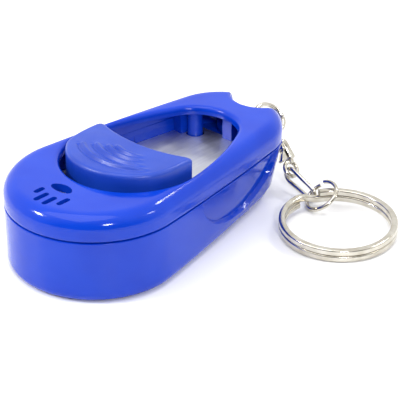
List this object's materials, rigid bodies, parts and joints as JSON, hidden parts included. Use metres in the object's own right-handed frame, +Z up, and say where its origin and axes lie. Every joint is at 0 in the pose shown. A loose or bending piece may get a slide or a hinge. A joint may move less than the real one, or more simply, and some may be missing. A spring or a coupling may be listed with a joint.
{
  "type": "clicker trainer",
  "caption": "Thumb-press training clicker: oval two-shell case, half-moon button on a spring plate, trigger clasp, link, jump ring and split key ring.",
  "frame": {"origin": "centre of the case's underside", "axes": "+Z up through the button, +Y toward the notch end that holds the key ring, +X toward the side the key ring lies on"},
  "size_m": [0.0574, 0.0707, 0.0209],
  "materials": {
    "case_blue": "gloss",
    "button_blue": "satin",
    "spring_steel": "satin",
    "bright_nickel": "polished",
    "zinc_screw": "satin"
  },
  "bodies": {
    "case": {"base_shell": "case_blue", "top_cover": "case_blue", "lanyard_bar": "bright_nickel", "case_screws": "zinc_screw", "click_plate": "spring_steel"},
    "button": {"press_button": "button_blue", "button_rivets": "zinc_screw"},
    "clasp": {"clasp_body": "bright_nickel", "gate_pin": "bright_nickel"},
    "gate": {"gate_lever": "bright_nickel"},
    "link": {"chain_link": "bright_nickel"},
    "jump": {"jump_ring": "bright_nickel"},
    "key": {"split_ring": "bright_nickel"}
  },
  "joints": [
    {"name": "button_press", "type": "hinge", "parent": "case", "child": "button", "pos_m": [0, 0.014, 0.0111], "axis": [1, 0, 0], "range_deg": [0, 4], "stiffness_Nm_per_rad": 2.5, "deforming": ["click_plate"]},
    {"name": "clasp_swing", "type": "hinge", "parent": "case", "child": "clasp", "pos_m": [0.0029, 0.0318, 0.0128], "axis": [0.7501, 0, 0.6613], "range_deg": [0, 35]},
    {"name": "gate_open", "type": "hinge", "parent": "clasp", "child": "gate", "pos_m": [0.0068, 0.0312, 0.00837], "axis": [-0.7501, 0, -0.6613], "range_deg": [0, 24], "stiffness_Nm_per_rad": 0.0005},
    {"name": "link_swing", "type": "hinge", "parent": "clasp", "child": "link", "pos_m": [0.00996, 0.03054, 0.0048], "axis": [0.7501, 0, 0.6613], "range_deg": [-6, 18]},
    {"name": "jump_swing", "type": "hinge", "parent": "link", "child": "jump", "pos_m": [0.01604, 0.02929, 0.00158], "axis": [0.0632, -0.8634, -0.5006], "range_deg": [-12, 10]},
    {"name": "key_swing", "type": "hinge", "parent": "jump", "child": "key", "pos_m": [0.01934, 0.02897, 0.00254], "axis": [-0.2856, -0.4963, 0.8198], "range_deg": [-6, 18]}
  ]
}
